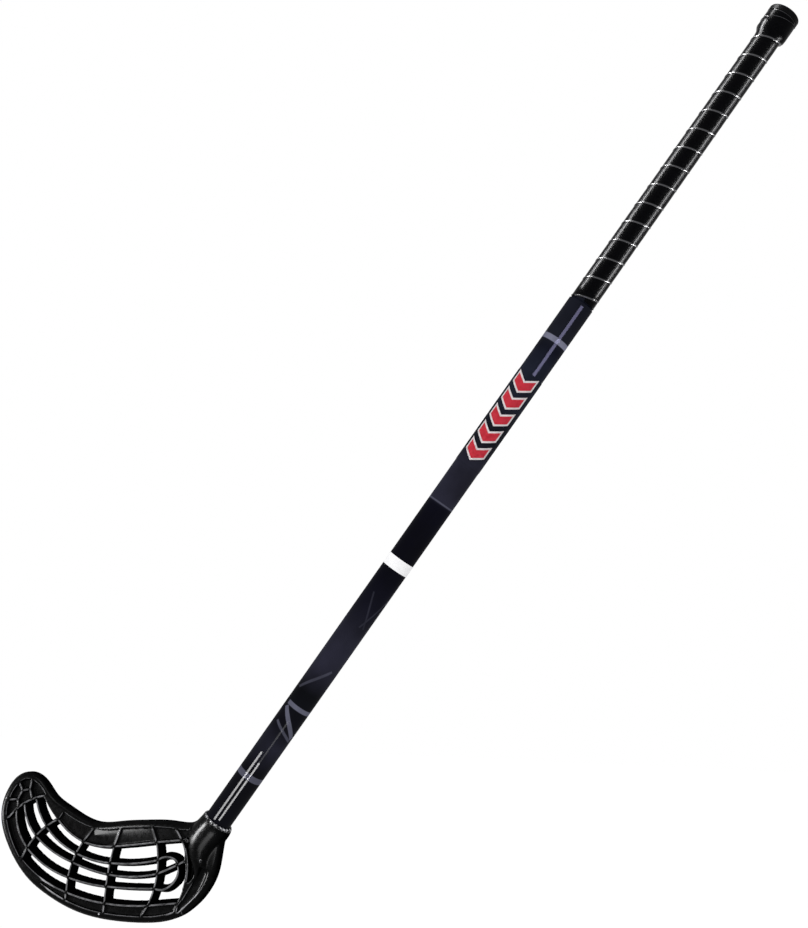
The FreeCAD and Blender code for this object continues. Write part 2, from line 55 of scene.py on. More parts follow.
# %% [markdown]
# ## The shaft's own frame
# Almost everything on the stick is measured along the shaft: how far up a stripe sits, or on
# which side a print faces. Each place could be typed in as x, y and z, but nobody could read that
# back. So the script works in stations, in millimetres up from the mouth of the blade's socket,
# and in the angle round the shaft. One matrix turns such a place into the model's frame, whose
# origin is in the middle of the grip.

# %% Stations on the shaft
# Sizes here and below are in millimetres, and MM turns them to metres.
MM = 0.001
LIE = math.radians(55)
ORIGIN_STATION = 768.703
SHAFT_RADIUS = 13.0

shaft_axis = Vector((math.cos(LIE), 0, math.sin(LIE)))
to_model = Matrix.Rotation(math.pi / 2 - LIE, 4, "Y")


def on_shaft(radius, angle, station):
    """A place in the model's frame from a radius and a station in mm and an angle round the shaft."""
    place = Vector((radius * math.cos(angle), radius * math.sin(angle), station - ORIGIN_STATION))
    return to_model @ (place * MM)


mouth = on_shaft(0, 0, 0)
print("socket mouth at", [round(v, 4) for v in mouth])

# %% [markdown]
# ## Camera
# The picture shows the stick from a little to the right of its hollow side, with the shaft
# parallel to the picture. The camera could be moved by eye, but then the shaft would leave its
# line with each try. So it looks square at the shaft: it is set at a station, a distance in front
# of it and a little aside, then swung about the shaft, which turns only the blade.

# %% Camera square to the shaft
IMAGE_HEIGHT = 928
FOCAL_PIXELS = 1183
SENSOR_MM = 36
CAMERA_STATION, CAMERA_DISTANCE, CAMERA_ASIDE = 378.9, 1127.0, -50.5
CAMERA_SWING = math.radians(21)
CAMERA_ROLL = math.radians(0.1)

facing = CAMERA_SWING - math.pi / 2 + math.atan2(CAMERA_ASIDE, CAMERA_DISTANCE)
swing = Matrix.Rotation(CAMERA_SWING, 3, shaft_axis)
camera_place = on_shaft(math.hypot(CAMERA_DISTANCE, CAMERA_ASIDE), facing, CAMERA_STATION)
camera_right = swing @ Vector((math.cos(CAMERA_ROLL), 0, math.sin(CAMERA_ROLL)))
camera_back = swing @ Vector((0, -1, 0))
camera_up = camera_back.cross(camera_right)

lens = bpy.data.cameras.new("camera")
lens.sensor_width = SENSOR_MM
lens.lens = FOCAL_PIXELS / IMAGE_HEIGHT * SENSOR_MM
camera = bpy.data.objects.new("camera", lens)
scene.collection.objects.link(camera)
axes = Matrix((camera_right, camera_up, camera_back)).transposed().to_4x4()
camera.matrix_world = Matrix.Translation(camera_place) @ axes
scene.camera = camera
scene.view_settings.view_transform = "Standard"
print("lens", round(lens.lens, 2), "mm at", [round(v, 3) for v in camera_place])

# %% [markdown]
# ## Small tools for materials
# Colours are written as they look on screen, as hex values, and turned to linear light once. One
# function adds a shader node, sets it and links it, so that a material reads as a list of what
# it is made of. A pattern's scale is worked out from the size of its marks in millimetres.
# A millimetre is about one pixel of the picture, so most patterns are drawn near that size.

# %% Colours


def colour(hex_value):
    """Linear RGBA from a screen colour such as "#1A2B3C"."""
    channels = [int(hex_value[i:i + 2], 16) / 255 for i in (1, 3, 5)]
    linear = [c / 12.92 if c <= 0.04045 else ((c + 0.055) / 1.055) ** 2.4 for c in channels]
    return (*linear, 1.0)


print("mid grey is", round(colour("#808080")[0], 4), "in linear light")

# %% Nodes and materials


def add(tree, kind, inputs=None, **settings):
    """Add a node, set its properties, and set or link its inputs."""
    node = tree.nodes.new("ShaderNode" + kind)
    for name, value in settings.items():
        setattr(node, name, value)
    for socket, value in (inputs or {}).items():
        if isinstance(value, bpy.types.NodeSocket):
            tree.links.new(value, node.inputs[socket])
        else:
            node.inputs[socket].default_value = value
    return node


def new_material(name, **inputs):
    """A material with one principled shader, whose plain values are set by name."""
    material = bpy.data.materials.new(name)
    material.use_nodes = True
    shader = material.node_tree.nodes["Principled BSDF"]
    for socket, value in inputs.items():
        shader.inputs[socket.replace("_", " ")].default_value = value
    return material, material.node_tree, shader


def dress(piece, material):
    """Give a piece one material."""
    piece.data.materials.clear()
    piece.data.materials.append(material)


print("nodes to dress:", len(nodes))

# %% [markdown]
# ## Shaft: clear-lacquered composite
# A floorball shaft is a wrapped fibre tube, sanded, printed and sealed under clear lacquer. The
# print is what gives it life: near-black navy that drifts lighter and darker along the length,
# crossed by pale grey-violet stripes. Each stripe could be a thin mesh, but under lacquer a
# print has no height. Stripes are straight lines on the unrolled tube, so the material unrolls
# it: station along the axis, arc length round it.

# %% Unrolled coordinates


def unroll(tree):
    """Sockets with the station and the arc from the facing side, both in mm."""
    place = add(tree, "TexCoord").outputs["Object"]
    turned = add(tree, "Mapping", {"Vector": place, "Rotation": (0, LIE - math.pi / 2, -facing)})
    parts = add(tree, "SeparateXYZ", {0: turned.outputs[0]})
    rise = {0: parts.outputs["Z"], 1: 1 / MM, 2: ORIGIN_STATION}
    station = add(tree, "Math", rise, operation="MULTIPLY_ADD")
    angle = add(tree, "Math", {0: parts.outputs["Y"], 1: parts.outputs["X"]}, operation="ARCTAN2")
    arc = add(tree, "Math", {0: angle.outputs[0], 1: SHAFT_RADIUS}, operation="MULTIPLY")
    return station.outputs[0], arc.outputs[0]


print("a full turn of arc is", round(2 * math.pi * SHAFT_RADIUS, 1), "mm")

# %% One printed stripe
STRIPE_BLUR = 0.3


def stripe(tree, station, arc, start, end, width, strength):
    """A soft-edged stripe from one (station, arc) place to another on the unrolled tube."""
    (s0, w0), (s1, w1) = start, end
    length = math.hypot(s1 - s0, w1 - w0)
    along_s, along_w = (s1 - s0) / length, (w1 - w0) / length
    from_s = add(tree, "Math", {0: station, 1: s0}, operation="SUBTRACT").outputs[0]
    from_w = add(tree, "Math", {0: arc, 1: w0}, operation="SUBTRACT").outputs[0]
    part = add(tree, "Math", {0: from_w, 1: along_w}, operation="MULTIPLY").outputs[0]
    along = add(tree, "Math", {0: from_s, 1: along_s, 2: part}, operation="MULTIPLY_ADD").outputs[0]
    part = add(tree, "Math", {0: from_w, 1: along_s}, operation="MULTIPLY").outputs[0]
    aside = add(tree, "Math", {0: from_s, 1: -along_w, 2: part}, operation="MULTIPLY_ADD").outputs[0]
    middle = add(tree, "Math", {0: along, 1: length / 2}, operation="SUBTRACT").outputs[0]
    masks = []
    for offset, half in ((aside, width / 2), (middle, length / 2)):
        distance = add(tree, "Math", {0: offset}, operation="ABSOLUTE").outputs[0]
        fade = {0: distance, 1: half - STRIPE_BLUR, 2: half + STRIPE_BLUR, 3: 1.0, 4: 0.0}
        masks.append(add(tree, "MapRange", fade).outputs[0])
    both = add(tree, "Math", {0: masks[0], 1: masks[1]}, operation="MULTIPLY").outputs[0]
    return add(tree, "Math", {0: both, 1: strength}, operation="MULTIPLY").outputs[0]


print("a stripe's edge fades over", 2 * STRIPE_BLUR, "mm")

# %% [markdown]
# ## The print and its lacquer
# The ground is a list of tints by station, which a colour ramp blends, and the stripes are
# rows of start, end, width and strength. A painted picture of the print could do the same, but
# a list stays sharp at any distance and can be read. The lacquer is the shader's clear coat.

# %% Ground tints and stripes
NIGHT, SLATE = "#03030D", "#20202C"
# Each row of the ground: station, tint.
GROUND = [
    (-30, "#06060E"), (62, "#08080F"), (88, "#1C1C27"), (112, "#07070F"), (150, "#05060B"),
    (172, SLATE), (215, SLATE), (250, "#0C0C18"), (280, NIGHT), (366, NIGHT), (369, SLATE), (410, SLATE),
    (442, "#10121A"), (521, "#1A1E2B"), (547, "#090B16"), (561, "#161821"), (600, "#13151F"),
]
# Each stripe: its first and its last place as station and arc, its width, its strength.
STRIPES = [
    ((53, -20.5), (53.5, 20.5), 6.0, 0.5),
    ((132.8, -12), (132.2, 30), 4.4, 0.5),
    ((128.8, -10.7), (103.8, 15.1), 4.2, 0.5),
    ((112.7, -10.1), (100.7, 14.2), 2.6, 0.3),
    ((150, -12), (179, 8), 2.6, 0.2),
    ((228.4, 4), (264.3, 16), 1.6, 0.1),
    ((228.4, 9), (264.3, -4), 1.6, 0.08),
    ((368.4, -30), (368.4, 30), 1.6, 0.25),
    ((556.7, -41), (556.7, 41), 5.6, 0.9),
]
print(len(GROUND), "ground tints and", len(STRIPES), "stripes")

# %% Lacquered shaft material
DRIFT_MM, FLOW_MM = 36, 2.9


def per_mm(size):
    """The scale of a pattern whose marks are this many millimetres across."""
    return 1 / (size * MM)


def make_lacquer():
    """Printed fibre tube under sprayed clear lacquer."""
    # To the eye it is deep and glassy: the ground stays almost black, and a lamp shows on it only
    # as a narrow, sharp streak in the coat.
    material, tree, shader = new_material(
        "clear_lacquered_composite", Roughness=0.5, Specular_IOR_Level=0.0, Coat_Weight=0.08,
        Coat_Roughness=0.06, Coat_IOR=1.5)
    station, arc = unroll(tree)
    low, high = GROUND[0][0], GROUND[-1][0]
    share = add(tree, "MapRange", {0: station, 1: low, 2: high})
    ramp = add(tree, "ValToRGB", {0: share.outputs[0]})
    for place, _ in GROUND[1:-1]:
        ramp.color_ramp.elements.new((place - low) / (high - low))
    for stop, (_, tint) in zip(ramp.color_ramp.elements, GROUND):
        stop.color = colour(tint)
    masks = [stripe(tree, station, arc, *row) for row in STRIPES]
    mask = masks[0]
    for one in masks[1:]:
        mask = add(tree, "Math", {0: mask, 1: one}, operation="MAXIMUM").outputs[0]
    printed = add(tree, "Mix", {0: mask, 6: ramp.outputs[0], 7: colour("#757689")}, data_type="RGBA")
    # The ink lies a little thicker and thinner in patches, and the lacquer flowed out unevenly.
    # Real ripples of that kind are finer than a pixel, so they are drawn coarser.
    place = add(tree, "TexCoord").outputs["Object"]
    drift = add(tree, "TexNoise", {"Vector": place, "Scale": per_mm(DRIFT_MM), "Detail": 3.0})
    shade = add(tree, "MapRange", {0: drift.outputs[0], 1: 0.35, 2: 0.65, 3: 0.75, 4: 1.25})
    inks = {0: 1.0, 6: printed.outputs[2], 7: shade.outputs[0]}
    final = add(tree, "Mix", inks, data_type="RGBA", blend_type="MULTIPLY")
    tree.links.new(final.outputs[2], shader.inputs["Base Color"])
    flow = add(tree, "TexNoise", {"Vector": place, "Scale": per_mm(FLOW_MM), "Detail": 2.0})
    ripple = add(tree, "Bump", {"Height": flow.outputs[0], "Strength": 0.01, "Distance": 0.3 * MM})
    tree.links.new(ripple.outputs[0], shader.inputs["Coat Normal"])
    return material


lacquer = make_lacquer()
dress(nodes["shaft_tube"], lacquer)
print("shaft dressed in", lacquer.name)

# %% [markdown]
# ## Grip: a wound strip
# The grip is one strip of soft tape wound from below, each turn lying against the one before, and
# a last turn over the knob of the end cap. A ribbed tube would look much the same from afar,
# but its ridges would be level rings. So the strip itself is swept along its winding, with a
# cross-section whose lower edge is raised and rounded, and that edge is marked for the material.

# %% Bed of the tape
SEAT_RADIUS, KNOB_RADIUS = 11.5, 14.4
FLARE_START, FLARE_LENGTH = 908.8, 5.6


def clamp(value):
    """A value held between 0 and 1."""
    return min(max(value, 0.0), 1.0)


def tape_bed(station):
    """Radius of the surface that the tape lies on, in mm."""
    rise = (1 - math.cos(math.pi * clamp((station - FLARE_START) / FLARE_LENGTH))) / 2
    return SEAT_RADIUS + (KNOB_RADIUS - SEAT_RADIUS) * rise


print("bed of", tape_bed(0), "mm, and over the knob", tape_bed(FLARE_START + FLARE_LENGTH), "mm")

# %% Section of the strip
PITCH, TAPE_FOOT, TAPE_START, TAPE_TOP = 21.4, 602.2, 605.406, 932.0
# The edges' grey is partly the rub of hands and partly a painted highlight.
TOP_EDGE, TOP_WEAR_AND_HIGHLIGHT = 0.3, 0.8
# Each row of the section: share of the width, height over the bed in mm, wear with painted highlight.
SECTION = [
    (0.000, 0.10, 0.0), (0.000, 0.70, 0.5), (0.004, 1.02, 1.0), (0.014, 1.26, 1.0), (0.032, 1.38, 1.0),
    (0.052, 1.28, 1.0), (0.070, 1.06, 0.5), (0.095, 0.94, 0.0), (0.140, 0.92, 0.0), (0.280, 0.95, 0.0),
    (0.500, 0.97, 0.0), (0.720, 0.95, 0.0), (0.880, 0.90, 0.0), (0.965, 0.84, 0.0), (1.000, 0.80, 0.0),
    (1.012, 0.62, 0.0), (1.012, 0.10, 0.0),
]


def edge_wear_and_highlight(station, helix, wear_and_highlight):
    """Wear and painted highlight of a point: the section's own, none on the level foot, and a thin line at
    the top.
    """
    if station > TAPE_TOP - TOP_EDGE:
        return TOP_WEAR_AND_HIGHLIGHT
    return wear_and_highlight if helix > TAPE_FOOT else 0.0


print("strip", PITCH, "mm wide, with", len(SECTION), "points across")

# %% Wound strip
WIND_FROM = math.radians(-70)
TURN_STEPS = 96
LEAST_WIDTH = 0.4


def make_piece(name, mesh, smooth=True):
    """An object in the scene from a finished bmesh, which it frees."""
    bmesh.ops.recalc_face_normals(mesh, faces=mesh.faces)
    data = bpy.data.meshes.new(name)
    mesh.to_mesh(data)
    mesh.free()
    for face in data.polygons:
        face.use_smooth = smooth
    piece = bpy.data.objects.new(name, data)
    scene.collection.objects.link(piece)
    return piece


def wound_strip(name):
    """The wound strip as one closed mesh, tapered to a level foot and top."""
    turns = (TAPE_TOP - TAPE_START) / PITCH + 1
    mesh = bmesh.new()
    edge = mesh.verts.layers.float.new("edge")
    rings = []
    for step in range(int(turns * TURN_STEPS) + 1):
        turn = step / TURN_STEPS
        angle = WIND_FROM + turn * 2 * math.pi
        helix = TAPE_START + PITCH * (turn - 1)
        low = max(helix, TAPE_FOOT)
        width = max(min(helix + PITCH, TAPE_TOP) - low, LEAST_WIDTH)
        ring = []
        for share, height, wear_and_highlight in SECTION:
            station = min(low + width * share, TAPE_TOP)
            point = mesh.verts.new(on_shaft(tape_bed(station) + height, angle, station))
            point[edge] = edge_wear_and_highlight(station, helix, wear_and_highlight)
            ring.append(point)
        rings.append(ring)
    for one, two in zip(rings[:-1], rings[1:]):
        for index in range(len(SECTION)):
            following = (index + 1) % len(SECTION)
            mesh.faces.new((one[index], two[index], two[following], one[following]))
    mesh.faces.new(rings[0])
    mesh.faces.new(rings[-1][::-1])
    return make_piece(name, mesh)


grip = wound_strip("grip_wrap")
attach(grip, "stick")
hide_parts("grip_tape")
print("tape strip:", len(grip.data.vertices), "points")

# %% [markdown]
# ## Grip: embossed polyurethane
# Polyurethane tape is cast soft and embossed with fine grooves. It is black and soft-looking,
# with a faint bloom at the sides where the light grazes it. Its raised edge is a lighter grey,
# partly the rub of hands and partly a painted highlight along the edge. Each groove could be
# cut in the mesh, but at this distance a bump does as well, and the strip's real edge stays in the
# geometry.

# %% Embossed tape material
# Real grooves are about 1 mm apart and the grain is a few tenths of a millimetre. Both are too
# fine to show here, so they are drawn coarser.
GROOVE_MM, GRAIN_MM = 1.6, 1.1


def two_tints(tree, factor, first, second):
    """A colour that runs from one (level, tint) to another as a factor rises."""
    (low, dark), (high, light) = first, second
    share = add(tree, "MapRange", {0: factor, 1: low, 2: high})
    tints = {0: share.outputs[0], 6: colour(dark), 7: colour(light)}
    return add(tree, "Mix", tints, data_type="RGBA").outputs[2]


def make_tape_material():
    """Polyurethane tape, cast and embossed."""
    # To the eye it is a soft black, with a grainy sheen at the sides and a bright edge,
    # which is partly wear and partly painted highlight.
    material, tree, shader = new_material("embossed_polyurethane_tape", Specular_IOR_Level=0.02)
    arc = unroll(tree)[1]
    place = add(tree, "TexCoord").outputs["Object"]
    edge = add(tree, "Attribute", attribute_name="edge").outputs["Fac"]
    fleck = {"Vector": place, "Scale": per_mm(GRAIN_MM), "Detail": 4.0, "Roughness": 0.6}
    grain = add(tree, "TexNoise", fleck)
    tint = two_tints(tree, grain.outputs[0], (0.35, "#010102"), (0.7, "#070709"))
    # The edge's grey is partly wear and partly a painted highlight.
    wear_and_highlight = add(tree, "Mix", {0: edge, 6: tint, 7: colour("#3A3A3D")}, data_type="RGBA")
    tree.links.new(wear_and_highlight.outputs[2], shader.inputs["Base Color"])
    shine = add(tree, "MapRange", {0: edge, 3: 0.02, 4: 0.32})
    tree.links.new(shine.outputs[0], shader.inputs["Specular IOR Level"])
    rough = add(tree, "MapRange", {0: grain.outputs[0], 1: 0.3, 2: 0.7, 3: 0.24, 4: 0.32})
    tree.links.new(rough.outputs[0], shader.inputs["Roughness"])
    dapple = add(tree, "TexVoronoi", {"Vector": place, "Scale": per_mm(GROOVE_MM)})
    wave = add(tree, "Math", {0: arc, 1: 2 * math.pi / GROOVE_MM}, operation="MULTIPLY")
    groove = add(tree, "Math", {0: wave.outputs[0]}, operation="SINE")
    heights = {0: dapple.outputs["Distance"], 1: 1.2, 2: groove.outputs[0]}
    height = add(tree, "Math", heights, operation="MULTIPLY_ADD")
    relief = add(tree, "Bump", {"Height": height.outputs[0], "Strength": 0.15, "Distance": 0.2 * MM})
    fine = add(tree, "Bump", {
        "Height": grain.outputs[0], "Strength": 0.3, "Distance": 0.2 * MM, "Normal": relief.outputs[0]})
    tree.links.new(fine.outputs[0], shader.inputs["Normal"])
    return material


dress(grip, make_tape_material())
print("tape grooves every", GROOVE_MM, "mm")

# %% [markdown]
# ## End cap: moulded rubber
# The cap is a rubber moulding pushed over the tube's end, and only its lip shows above the tape.
# Its solid is already right, so it keeps it. Moulded rubber is matt and slightly cloudy, which
# a soft noise in the colour and a low bump give without any drawing.

# %% Rubber
CLOUD_MM = 6.2


def make_rubber():
    """Rubber, moulded in one piece."""
    # To the eye it is a dull, cloudy black that takes hardly any light from a lamp.
    material, tree, shader = new_material("moulded_rubber", Roughness=0.45, Specular_IOR_Level=0.03)
    place = add(tree, "TexCoord").outputs["Object"]
    cloud = add(tree, "TexNoise", {"Vector": place, "Scale": per_mm(CLOUD_MM), "Detail": 5.0})
    tint = two_tints(tree, cloud.outputs[0], (0.3, "#040405"), (0.75, "#0E0E0F"))
    tree.links.new(tint, shader.inputs["Base Color"])
    relief = add(tree, "Bump", {"Height": cloud.outputs[0], "Strength": 0.15, "Distance": 0.2 * MM})
    tree.links.new(relief.outputs[0], shader.inputs["Normal"])
    return material


dress(nodes["end_cap"], make_rubber())
print("end cap dressed")

# %% [markdown]
# ## Blade: a rounded moulding
# The blade is one moulding. Its solid already has the right ribs, but a moulded edge is never
# sharp: each rib's crest is rounded and catches the light as a thin line. A bevel would round
# the edges too, but it fails on a lattice like this. A voxel remesh turns the solid into an even
# skin instead, and a few smoothing passes round every edge by about half a millimetre.

# %% Rounded blade
VOXEL_MM = 0.6
SAME_PLACE = 1e-6
EDGE_PASSES = 3


def keep_shape(piece):
    """Make the mesh that the modifiers give the piece's own, with smooth faces."""
    before = piece.data
    shown = piece.evaluated_get(bpy.context.evaluated_depsgraph_get())
    shaped = bpy.data.meshes.new_from_object(shown)
    piece.modifiers.clear()
    piece.vertex_groups.clear()
    piece.data = shaped
    bpy.data.meshes.remove(before)
    for face in shaped.polygons:
        face.use_smooth = True


def rounded_copy(node, name):
    """A copy of a node as an even skin with rounded edges."""
    data = nodes[node].data.copy()
    data.name = name
    piece = bpy.data.objects.new(name, data)
    scene.collection.objects.link(piece)
    skin = bmesh.new()
    skin.from_mesh(data)
    bmesh.ops.remove_doubles(skin, verts=skin.verts, dist=SAME_PLACE)
    skin.to_mesh(data)
    skin.free()
    remesh = piece.modifiers.new("even_skin", "REMESH")
    remesh.mode = "VOXEL"
    remesh.voxel_size = VOXEL_MM * MM
    soften = piece.modifiers.new("rounded_edges", "SMOOTH")
    soften.factor = 0.5
    soften.iterations = EDGE_PASSES
    keep_shape(piece)
    return piece


blade = rounded_copy("blade", "moulded_blade")
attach(blade, "blade")
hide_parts("blade")
print("blade skin:", len(blade.data.vertices), "points")

# %% [markdown]
# ## Heel: the socket runs into the plate
# On the real blade the socket's outside flows into the plate without a corner, where the solid
# has a seam. More smoothing of the whole blade would melt the ribs. A vertex group limits it to
# an oval on the front of the heel, and leaves the bore, the lip and the back alone.

# %% Softened heel
HEEL_MIDDLE, HEEL_HALF, HEEL_FADE = (11.5, -36.0), (15.0, 30.0), 0.3
BORE_KEEP_RADIUS, BORE_KEEP_DEPTH, LIP_KEEP_DEPTH = 14.5, 27, 5
HEEL_PASSES = 50


def heel_weight(point):
    """Share of the soft front of the heel at a point: 1 in its middle, 0 outside it."""
    from_mouth = (point - mouth) / MM
    station = from_mouth.dot(shaft_axis)
    reach = (from_mouth - shaft_axis * station).length
    in_bore = reach < BORE_KEEP_RADIUS and station > -BORE_KEEP_DEPTH
    if from_mouth.y > 0 or station > -LIP_KEEP_DEPTH or in_bore:
        return 0.0
    out = (-from_mouth.x - HEEL_MIDDLE[0]) / HEEL_HALF[0]
    rise = (from_mouth.z - HEEL_MIDDLE[1]) / HEEL_HALF[1]
    return clamp((1 - math.hypot(out, rise)) / HEEL_FADE)


def soften_heel(piece):
    """Run the socket's outside smoothly into the plate, as the mould does."""
    heel = piece.vertex_groups.new(name="heel")
    weights = [heel_weight(vertex.co) for vertex in piece.data.vertices]
    for index, weight in enumerate(weights):
        if weight > 0:
            heel.add([index], weight, "REPLACE")
    soften = piece.modifiers.new("soft_heel", "SMOOTH")
    soften.vertex_group = "heel"
    soften.factor = 0.5
    soften.iterations = HEEL_PASSES
    keep_shape(piece)
    print("heel softened at", sum(weight > 0 for weight in weights), "points")


soften_heel(blade)

# %% [markdown]
# ## Ribs and pip
# Smoothing takes width as well as sharpness, so the windows would come out too large. The ribs
# get their width back, but only behind their crests, since the crests are right as thin lines.
# The small round pip that the mould leaves on the heel is smoothed away with the seam, so it is
# set back on as a flattened ball, at the place where a ray from the front meets the skin.

# %% Fuller ribs
RIB_GAIN = 0.6
RIBS_FROM, RIBS_FADE = 20, 10
CREST_DEPTH, CREST_FADE = 2.0, 2.5
COLUMN_MM = 4


def fill_ribs(piece):
    """Push the skin outwards in the plate's plane, behind the crests of the ribs."""
    points = [(vertex.co.copy(), vertex.normal.copy()) for vertex in piece.data.vertices]
    front = {}
    for place, _ in points:
        column = round((mouth.x - place.x) / MM / COLUMN_MM)
        front[column] = min(front.get(column, 1.0), place.y)
    places = []
    for place, normal in points:
        out = (mouth.x - place.x) / MM
        depth = (place.y - front[round(out / COLUMN_MM)]) / MM
        share = clamp((out - RIBS_FROM) / RIBS_FADE) * clamp((depth - CREST_DEPTH) / CREST_FADE)
        places.extend(place + Vector((normal.x, 0, normal.z)) * share * RIB_GAIN * MM)
    piece.data.vertices.foreach_set("co", places)
    piece.data.update()
    print("ribs filled by up to", RIB_GAIN, "mm a side")


fill_ribs(blade)

# %% Pip on the heel
PIP, PIP_RADIUS, PIP_HEIGHT = (10.6, -37.0), 1.5, 0.9
RAY_START = 40.0


def add_pip(piece):
    """Raise the moulding's small round pip on the softened heel."""
    start = mouth + Vector((-PIP[0], -RAY_START, PIP[1])) * MM
    found, foot, outwards, _ = piece.ray_cast(start, Vector((0, 1, 0)))
    turn = outwards.to_track_quat("Z", "Y").to_matrix().to_4x4()
    shape = Matrix.Diagonal((PIP_RADIUS * MM, PIP_RADIUS * MM, PIP_HEIGHT * MM, 1))
    skin = bmesh.new()
    skin.from_mesh(piece.data)
    dome = bmesh.ops.create_uvsphere(
        skin, u_segments=20, v_segments=12, radius=1, matrix=Matrix.Translation(foot) @ turn @ shape)
    for face in {face for point in dome["verts"] for face in point.link_faces}:
        face.smooth = True
    skin.to_mesh(piece.data)
    skin.free()
    print("pip on the heel:", found, [round(v, 4) for v in foot])


add_pip(blade)

# %% [markdown]
# ## Blade: moulded polyethylene
# Polyethylene comes out of the mould semi-gloss and black. Its crests and edges catch the light as
# thin grey lines that draw the lattice, and here those lines are painted highlights in the colour.
# They could be painted by hand along each rib, but the mesh knows where it is pointed: Pointiness
# finds every crest, a limit on the normal keeps to faces that look forwards or backwards, and a slow
# noise makes some parts brighter. The sole's edge is too blunt to be found so, and gets a stronger
# gain along its arc. The socket's lip gets painted speckled glints.

# %% Painted highlight along the sole
# The sole's edge is an arc, whose middle is measured from the socket's mouth.
SOLE_MIDDLE, SOLE_RADIUS = (-92.5, 0.0, -0.6), 103.0
SOLE_HALF_WIDTH = (2.5, 4)
SOLE_BELOW = (45, 65)
SOLE_HIGHLIGHT_GAIN = 2.4


def sole_highlight_gain(tree, place):
    """Gain of the painted highlight: more than 1 along the arc of the sole's edge, on the lower heel."""
    middle = mouth + Vector(SOLE_MIDDLE) * MM
    flat = add(tree, "VectorMath", {0: place, 1: (1, 0, 1)}, operation="MULTIPLY").outputs[0]
    reach = add(tree, "VectorMath", {0: flat, 1: middle}, operation="DISTANCE").outputs["Value"]
    off_line = add(tree, "Math", {0: reach, 1: SOLE_RADIUS * MM}, operation="SUBTRACT").outputs[0]
    off_line = add(tree, "Math", {0: off_line}, operation="ABSOLUTE").outputs[0]
    inner, outer = SOLE_HALF_WIDTH
    near = add(tree, "MapRange", {0: off_line, 1: inner * MM, 2: outer * MM, 3: 1.0, 4: 0.0})
    height = add(tree, "SeparateXYZ", {0: place}).outputs["Z"]
    upper, lower = SOLE_BELOW
    low = add(tree, "MapRange", {0: height, 1: middle.z - upper * MM, 2: middle.z - lower * MM})
    sole = add(tree, "Math", {0: low.outputs[0], 1: near.outputs[0]}, operation="MULTIPLY")
    return add(tree, "MapRange", {0: sole.outputs[0], 3: 1.0, 4: SOLE_HIGHLIGHT_GAIN}).outputs[0]


# The gain widens the painted highlight along the sole's edge.
print("the sole's edge shows wear", SOLE_HIGHLIGHT_GAIN, "times as soon")

# %% Painted highlights on the crests and the lip
# Pointiness is 0.5 on a flat skin and more on a crest.
FLAT_SKIN = 0.5
CREST_FROM, CREST_FULL = 0.523, 0.578
FACE_FROM, FACE_FULL = 0.25, 0.5
LIP_FROM, LIP_FULL = -2.6, -0.8
# Sizes of the patches in the painted crest highlight and of the painted glints on the lip.
HIGHLIGHT_PATCH_MM, LIP_GLINT_MM = 16, 1.7


def painted_crest_highlights(tree, place, outwards):
    """Share of painted grey highlight on the crests and edges, from how pointed the skin is."""
    pointed = add(tree, "NewGeometry").outputs["Pointiness"]
    excess = add(tree, "Math", {0: pointed, 1: FLAT_SKIN}, operation="SUBTRACT").outputs[0]
    gained = {0: excess, 1: sole_highlight_gain(tree, place), 2: FLAT_SKIN}
    crest = add(tree, "Math", gained, operation="MULTIPLY_ADD").outputs[0]
    on_crest = add(tree, "MapRange", {0: crest, 1: CREST_FROM, 2: CREST_FULL})
    on_face = add(tree, "MapRange", {0: outwards, 1: FACE_FROM, 2: FACE_FULL})
    highlight_share = add(tree, "Math", {0: on_crest.outputs[0], 1: on_face.outputs[0]}, operation="MULTIPLY")
    patches = add(tree, "TexNoise", {"Vector": place, "Scale": per_mm(HIGHLIGHT_PATCH_MM), "Detail": 2.0})
    patchy_highlight = add(tree, "MapRange", {0: patches.outputs[0], 1: 0.35, 2: 0.65, 3: 0.45, 4: 1.0})
    return add(tree, "Math", {0: highlight_share.outputs[0], 1: patchy_highlight.outputs[0]}, operation="MULTIPLY").outputs[0]


def painted_lip_glints(tree, place):
    """Share of painted, flecked highlight on the socket's lip, as speckled glints."""
    lip = add(tree, "MapRange", {0: unroll(tree)[0], 1: LIP_FROM, 2: LIP_FULL})
    fleck = add(tree, "TexNoise", {"Vector": place, "Scale": per_mm(LIP_GLINT_MM), "Detail": 3.0})
    # Flecks of painted highlight.
    lip_glint = add(tree, "MapRange", {0: fleck.outputs[0], 1: 0.48, 2: 0.62})
    return add(tree, "Math", {0: lip_glint.outputs[0], 1: lip.outputs[0]}, operation="MULTIPLY").outputs[0]


# Sizes of the painted highlights on the crests and the lip.
print("worn patches of", HIGHLIGHT_PATCH_MM, "mm and scuffs of", LIP_GLINT_MM, "mm")

# %% Moulded polyethylene material
# The mould's real grit is about 0.1 mm, too fine to show, so it is drawn coarser.
MOTTLE_MM, GRIT_MM = 3.3, 0.7


